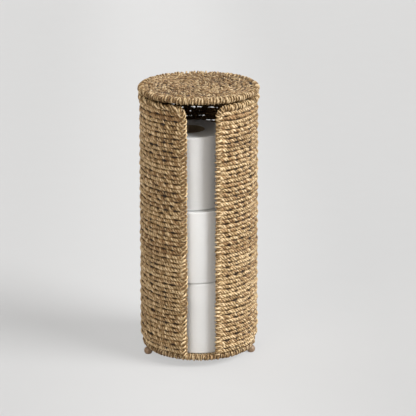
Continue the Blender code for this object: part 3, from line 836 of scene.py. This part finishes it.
class STAND_OT_discs(bpy.types.Operator):
    """Weaves the lid and the base in rounds of twisted cord over their spokes"""

    bl_idname = "stand.discs"
    bl_label = "Weave lid and base"

    def execute(self, context):
        sizes = context.scene.stand_sizes
        # The lid's grass is written darker and browner than the wall's, as painted shade; the base's is a
        # little browner
        top = grass_material("seagrass_lid", 0.45, 0.78)
        floor = grass_material("seagrass_base", 0.4)
        lid_edge = RIM_RING - LID_BINDING
        self.disc(sizes, "lid_rounds", lid_edge, "lid_weave", top, "lid", 21)
        self.disc(sizes, "base_rounds", BASE_RING - BASE_BINDING, "base_weave", floor, "tower", 22)
        self.stitches(sizes, lid_edge, top)
        return {"FINISHED"}

    def disc(self, sizes, name, edge, node, finish, body, seed):
        """One cord in a spiral from the middle to the edge, over one spoke and under the next, and raised
        where it meets the whipping."""
        low, high = box_of(node)
        z, half = (high[2] + low[2]) / 2, (high[2] - low[2]) / 2
        bundle = Bundle(seed)
        pitch = sizes.course_pitch * 0.94
        inner, outer = pitch * 0.35, edge + pitch * 0.1
        total = math.pi * (outer ** 2 - inner ** 2) / pitch
        share = np.linspace(0, 1, int(total / ROUND_STEP))
        radius = np.sqrt(inner ** 2 + share * (outer ** 2 - inner ** 2))
        angle = FULL_TURN * (radius - inner) / pitch
        length = share * total
        swing = np.cos(angle * np.where(radius < INNER_RADIUS, INNER_SPOKES / 2, OUTER_SPOKES / 2))
        swing = swing * np.clip(radius / 0.02, 0.2, 1)
        ledge = np.clip((radius - edge + 1.2 * pitch) / pitch, 0, 1)
        heights = z + ROUND_LIFT * (swing * (1 - 0.6 * ledge) + ledge) + bundle.wander(length, 0.03, 0.0003)
        centres = around(radius + bundle.wander(length, 0.03, 0.0005), angle, heights)

        # Painted shade: the disc darkens the further a point lies inside it from its upper and lower faces
        def hollow(points):
            depth = half - np.abs(points[..., 2] - z)
            return 0.6 * np.clip((depth - SHADE_START) / (half - SHADE_START), 0, 1)

        twisted_cord(bundle, centres, UPWARD, -outward_at(angle), sizes.cord_turn, hollow, 0.45, ROUND_SHARE)
        place_piece(bundle.make(name, finish), body, "seagrass", node)

    def stitches(self, sizes, edge, finish):
        """Short ends of cord that cross over the spokes, in rows from the middle of the lid to its rim."""
        low, high = box_of("lid_weave")
        bottom, top = low[2], high[2]
        bundle = Bundle(23)
        chance = bundle.chance
        pitch = sizes.course_pitch
        thick = STITCH_SHARE * sizes.cord_radius
        share = np.linspace(-0.5, 0.5, STITCH_POINTS)

        # Painted shade: a stitch darkens the lower it lies below the lid's top
        def hollow(points):
            depth = np.minimum(top - points[..., 2], points[..., 2] - bottom)
            return np.clip((depth - 0.0002) / 0.0013, 0, 1)

        for ring in range(1, int(edge / pitch) + 2):
            radius = (ring - 0.4) * pitch
            count = max(4, int(FULL_TURN * radius / STITCH_SPACE))
            for place in range(count):
                at = FULL_TURN * (place + 0.5 * (ring % 2)) / count + chance.normal(0, 0.0018) / radius
                lean = math.radians(chance.normal(*STITCH_LEAN)) * chance.choice((1, 1, -1))
                reach = chance.uniform(*STITCH_REACH)
                out = radius + chance.normal(0, 0.0008) + share * reach * math.sin(lean)
                out = np.clip(out, 0.001, edge + 0.0012)
                angle = at + share * reach * math.cos(lean) / radius
                drop = STITCH_SAG * (2 * share) ** 2 + chance.uniform(-0.0012, 0.0016)
                drop = np.minimum(drop, top - bottom - 1.95 * thick)
                centres = around(out, angle, top - 0.85 * thick - drop)
                across = np.cross(unit(np.gradient(centres, axis=0)), UPWARD)
                x, y = centres[STITCH_POINTS // 2, :2]
                tone = 0.3 + 1.3 * lid_patches(x, y) + chance.uniform(-0.9, 0.9)
                twisted_cord(bundle, centres, UPWARD, across, STITCH_TURN, hollow, tone, STITCH_SHARE)
        place_piece(bundle.make("lid_stitches", finish), "lid", "seagrass")


def turned_mesh(name, profile, finish, steps, centre):
    """A solid of revolution round an upright axis from (radius, z) corners that run down its outer side."""
    mesh = bpy.data.meshes.new(name)
    edges = [(i, i + 1) for i in range(len(profile) - 1)]
    if profile[0][0] > 0:
        edges.append((len(profile) - 1, 0))
    mesh.from_pydata([(radius, 0.0, z) for radius, z in profile], edges, [])
    made = add_object(name, mesh)
    made.location = (centre[0], centre[1], 0.0)
    screw = made.modifiers.new("turn", "SCREW")
    screw.steps = screw.render_steps = steps
    screw.use_merge_vertices = True
    screw.merge_threshold = 0.00001
    mesh.materials.append(finish)
    return made


CARD_WALL = 0.001
PAPER_ROOM = 0.0002
ROLL_EDGE = 0.0022
# The winding on a roll's upper end: its rings, where the first starts, and the share of each that rises
RINGS = 26
FIRST_RING = 0.0008
RING_SHARE = 0.55
RING_RISE = 0.00035


class STAND_OT_rolls(bpy.types.Operator):
    """Winds the three paper rolls on their card cores"""

    bl_idname = "stand.rolls"
    bl_label = "Wind the rolls"

    def execute(self, context):
        colours = context.scene.stand_colours
        card = grain_material(
            "roll_card", colours.card, deep=0.7, grain=700.0, patch=90.0, amount=0.7, smooth=0.75, rough=0.9,
            bump=0.2)
        paper = grain_material(
            "tissue", colours.paper, deep=0.93, grain=900.0, patch=25.0, amount=0.6, smooth=0.85, rough=0.95,
            bump=0.25)
        for place in ("lower", "middle", "upper"):
            low, high = box_of(f"paper_roll_{place}")
            core_low, core_high = box_of(f"roll_core_{place}")
            middle = (low + high) / 2
            bore = (core_high[0] - core_low[0]) / 2
            inside = bore - CARD_WALL
            profile = self.profile(bore, (high[0] - low[0]) / 2, low[2], high[2])
            piece = turned_mesh(f"tissue_{place}", profile, paper, 144, middle)
            place_piece(piece, f"roll_{place}", "paper", f"paper_roll_{place}")
            tube = [(bore, core_high[2]), (bore, core_low[2]), (inside, core_low[2]), (inside, core_high[2])]
            core = turned_mesh(f"core_{place}", tube, card, 96, middle)
            place_piece(core, f"roll_{place}", "card", f"roll_core_{place}")
        return {"FINISHED"}

    def profile(self, bore, radius, bottom, top):
        """The section of a roll, with its winding on the upper end and its outer edges rounded."""
        flat = radius - ROLL_EDGE
        width = flat - bore - FIRST_RING
        corners = [(bore + PAPER_ROOM, top - 0.0006)]
        for ring in range(RINGS):
            corners.append((bore + FIRST_RING + width * ring / RINGS, top - RING_RISE))
            corners.append((bore + FIRST_RING + width * (ring + RING_SHARE) / RINGS, top))
        for z, start, end in ((top - ROLL_EDGE, math.pi / 2, 0), (bottom + ROLL_EDGE, 0, -math.pi / 2)):
            for turn in np.linspace(start, end, 7):
                corners.append((flat + ROLL_EDGE * math.cos(turn), z + ROLL_EDGE * math.sin(turn)))
        corners.append((bore + PAPER_ROOM, bottom))
        return corners


class STAND_OT_wires(bpy.types.Operator):
    """Finishes the wire frame with its dark coating"""

    bl_idname = "stand.wires"
    bl_label = "Finish the wires"

    def execute(self, context):
        wire = grain_material(
            "coated_wire", context.scene.stand_colours.wire, deep=0.6, grain=2500.0, patch=200.0, amount=0.6,
            smooth=0.55, rough=0.7, bump=0.1)
        shader_of(wire).inputs["Metallic"].default_value = 0.3
        for name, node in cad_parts.items():
            if name.startswith(("stake_", "foot_pin_")) or name.endswith(("_wire", "_spokes")):
                node.data.materials.clear()
                node.data.materials.append(wire)
        return {"FINISHED"}


LOOP_POINTS = 60
LOOP_TWISTS = 5


class STAND_OT_loops(bpy.types.Operator):
    """Twists the two loops of cord that hang the lid on the rim"""

    bl_idname = "stand.loops"
    bl_label = "Twist the lid's loops"

    def execute(self, context):
        finish = grass_material("seagrass_loop", 0.3)
        turn = np.linspace(0, FULL_TURN, LOOP_POINTS + 1)[:-1]
        arch = np.stack([np.zeros(LOOP_POINTS), np.cos(turn), np.sin(turn)], -1)
        end = np.sign(np.sin(turn)) * (np.abs(np.sin(turn)) > 1e-9)
        for seed, side in enumerate(("left", "right")):
            low, high = box_of(f"hinge_loop_{side}")
            cord = (high[0] - low[0]) / 2
            bend = (high[1] - low[1]) / 2 - cord
            stretch = (high[2] - low[2]) / 2 - cord - bend
            middle = (low + high) / 2
            path = middle + bend * arch
            path[:, 2] += stretch * end
            path, _ = resampled(np.concatenate([path, path[:1]]), PATH_STEP)
            outward = unit(path - middle)
            bundle = Bundle(31 + seed)
            for ply in (0.0, math.pi):
                angle = ply - FULL_TURN * np.linspace(0, LOOP_TWISTS, len(path))
                offset = np.cos(angle)[:, None] * outward + np.sin(angle)[:, None] * SIDEWAYS
                spot = path + 0.42 * cord * offset
                # Each ply carries a little painted shade all along
                bundle.strand(spot[:-1], outward[:-1], 0.58 * cord, 0.4, 0.1, closed=True)
            place_piece(bundle.make(f"lid_loop_{side}", finish), "lid", "seagrass", f"hinge_loop_{side}")
        return {"FINISHED"}


# The radius of the flat on top of a ball foot, as a share of the ball's
FOOT_FLAT = 0.4


class STAND_OT_feet(bpy.types.Operator):
    """Turns the four ball feet"""

    bl_idname = "stand.feet"
    bl_label = "Turn the feet"

    def execute(self, context):
        wood = grain_material(
            "stained_wood", context.scene.stand_colours.wood, deep=0.5, grain=900.0, patch=240.0, amount=0.8,
            smooth=0.35, rough=0.5, bump=0.2, stretch=(1.0, 1.0, 0.15))
        for place in ("front_left", "front_right", "back_left", "back_right"):
            low, high = box_of(f"foot_{place}")
            radius = (high[0] - low[0]) / 2
            height = high[2]
            centre_z = height - math.sqrt(radius ** 2 - (FOOT_FLAT * radius) ** 2)
            upper = math.asin((height - centre_z) / radius)
            lower = -math.asin(min(1.0, centre_z / radius))
            profile = [(0.0, height)]
            for turn in np.linspace(upper, lower, 24):
                profile.append((radius * math.cos(turn), centre_z + radius * math.sin(turn)))
            profile.append((0.0, 0.0))
            foot = turned_mesh(f"ball_foot_{place}", profile, wood, 40, (low + high) / 2)
            place_piece(foot, "tower", "foot_wood", f"foot_{place}")
        return {"FINISHED"}


LAMP_DISTANCE = 3.0


def sun(name, strength, softness, side, up, colour=(1, 1, 1)):
    """A far lamp by the angles in degrees that it stands at: round from the front towards +X, and up."""
    data = bpy.data.lights.new(name, "SUN")
    data.energy = strength
    data.angle = math.radians(softness)
    data.color = colour
    side, up = math.radians(side), math.radians(up)
    flat = math.cos(up)
    place = Vector((flat * math.sin(side), -flat * math.cos(side), math.sin(up)))
    lamp = add_object(name, data)
    lamp.location = LAMP_DISTANCE * place
    lamp.rotation_euler = place.to_track_quat("Z", "Y").to_euler()


def seen_rays(wiring):
    """One for rays that show a surface or the sky to the camera, also in a gloss, and nothing for light."""
    rays = wiring.node("ShaderNodeLightPath").outputs
    seen = wiring.math("ADD", rays["Is Camera Ray"], rays["Is Glossy Ray"])
    return wiring.math("ADD", seen, rays["Is Transmission Ray"], clamp=True)


# The sweep: half its width, where its floor starts and bends up, the bend's radius, and its top edge
SWEEP_HALF = 5.0
SWEEP_FRONT = -4.0
SWEEP_BEND_AT = 2.4
SWEEP_BEND = 1.6
SWEEP_TOP = (4.0, 5.0)

# The sky's colour and strength, as light on the stand and as it is seen
SKY_LIGHT = ((1.0, 0.95, 0.87, 1.0), 0.22)
SKY_SEEN = ((1.0, 0.99, 0.98, 1.0), 0.7)


class STAND_OT_stage(bpy.types.Operator):
    """Sets the pale sweep, the soft lights and the camera"""

    bl_idname = "stand.stage"
    bl_label = "Set the studio"

    def execute(self, context):
        scene = context.scene
        self.sweep(scene.stand_colours.floor)
        scene.world = self.sky()
        sun("key", strength=3.9, softness=34.0, side=64.0, up=36.0)
        sun("front", strength=1.65, softness=44.0, side=-33.0, up=8.0, colour=(1.0, 0.94, 0.86))
        sun("back", strength=0.8, softness=60.0, side=205.0, up=32.0)
        scene.camera = self.camera()
        scene.view_settings.view_transform = "Standard"
        return {"FINISHED"}

    def sweep(self, colour):
        """A floor that bends up into a backdrop, and glows a little where it is seen; the extra glow in its
        middle is painted light.
        """
        finish = grain_material(
            "studio_sweep", colour, deep=0.98, grain=20.0, patch=0.8, amount=0.5, smooth=0.8, rough=0.9,
            bump=0.0)
        wiring = Wiring(finish.node_tree)
        place = wiring.node("ShaderNodeTexCoord").outputs["Object"]
        across = wiring.node("ShaderNodeSeparateXYZ", Vector=place).outputs["X"]
        # Painted light: the sweep glows more in a band down its middle, behind the stand, than at its sides
        glow = wiring.spread(wiring.math("ABSOLUTE", across), 0.03, 0.3, 0.47, 0.40)
        strength = wiring.math("MULTIPLY", seen_rays(wiring), glow)
        wiring.feed(shader_of(finish), Emission_Color=WHITE, Emission_Strength=strength)
        outline = [(SWEEP_FRONT, 0.0), (SWEEP_BEND_AT, 0.0)]
        for turn in np.linspace(0, math.pi / 2, 24)[1:]:
            y = SWEEP_BEND_AT + SWEEP_BEND * math.sin(turn)
            outline.append((y, SWEEP_BEND - SWEEP_BEND * math.cos(turn)))
        outline.append(SWEEP_TOP)
        corners = [(x, y, z) for y, z in outline for x in (-SWEEP_HALF, SWEEP_HALF)]
        faces = [(2 * k, 2 * k + 1, 2 * k + 3, 2 * k + 2) for k in range(len(outline) - 1)]
        mesh = bpy.data.meshes.new("sweep")
        mesh.from_pydata(corners, [], faces)
        mesh.materials.append(finish)
        for face in mesh.polygons:
            face.use_smooth = True
        add_object("studio_sweep", mesh)

    def sky(self):
        world = bpy.data.worlds.new("studio")
        world.use_nodes = True
        wiring = Wiring(world.node_tree)
        seen = seen_rays(wiring)
        wiring.feed(
            world.node_tree.nodes["Background"], Color=wiring.mix(seen, SKY_LIGHT[0], SKY_SEEN[0]),
            Strength=wiring.spread(seen, 0.0, 1.0, SKY_LIGHT[1], SKY_SEEN[1]))
        return world

    def camera(self):
        """The camera, a little left of the front and above the lid, aimed just to the right of the axis."""
        data = bpy.data.cameras.new("camera")
        data.sensor_width = 36.0
        data.lens = 156.6
        data.clip_end = 50.0
        camera = add_object("camera", data)
        side = math.radians(-2.4)
        distance, height, pitch, yaw = 2.3734, 0.9593, 0.3075, 0.0053
        camera.location = (distance * math.sin(side), -distance * math.cos(side), height)
        camera.rotation_euler = (math.pi / 2 - pitch, 0.0, side - yaw)
        return camera


OPERATORS = (
    STAND_OT_stage, STAND_OT_wall, STAND_OT_rims, STAND_OT_discs, STAND_OT_rolls, STAND_OT_wires,
    STAND_OT_loops, STAND_OT_feet)


class STAND_PT_panel(bpy.types.Panel):
    """Lists the steps and the sizes of the stand"""

    bl_label = "Toilet paper stand"
    bl_idname = "STAND_PT_panel"
    bl_space_type = "VIEW_3D"
    bl_region_type = "UI"
    bl_category = "Stand"

    def draw(self, context):
        for settings in (context.scene.stand_sizes, context.scene.stand_colours):
            for name in settings.__annotations__:
                self.layout.prop(settings, name)
        for operator in OPERATORS:
            self.layout.operator(operator.bl_idname)


CLASSES = (StandSizes, StandColours, *OPERATORS, STAND_PT_panel)


def register():
    for cls in CLASSES:
        bpy.utils.register_class(cls)
    bpy.types.Scene.stand_sizes = PointerProperty(type=StandSizes)
    bpy.types.Scene.stand_colours = PointerProperty(type=StandColours)


def unregister():
    del bpy.types.Scene.stand_colours
    del bpy.types.Scene.stand_sizes
    for cls in reversed(CLASSES):
        bpy.utils.unregister_class(cls)


def main():
    register()
    for operator in OPERATORS:
        group, name = operator.bl_idname.split(".")
        getattr(getattr(bpy.ops, group), name)()
    bpy.context.view_layer.update()


if __name__ == "__main__":
    main()
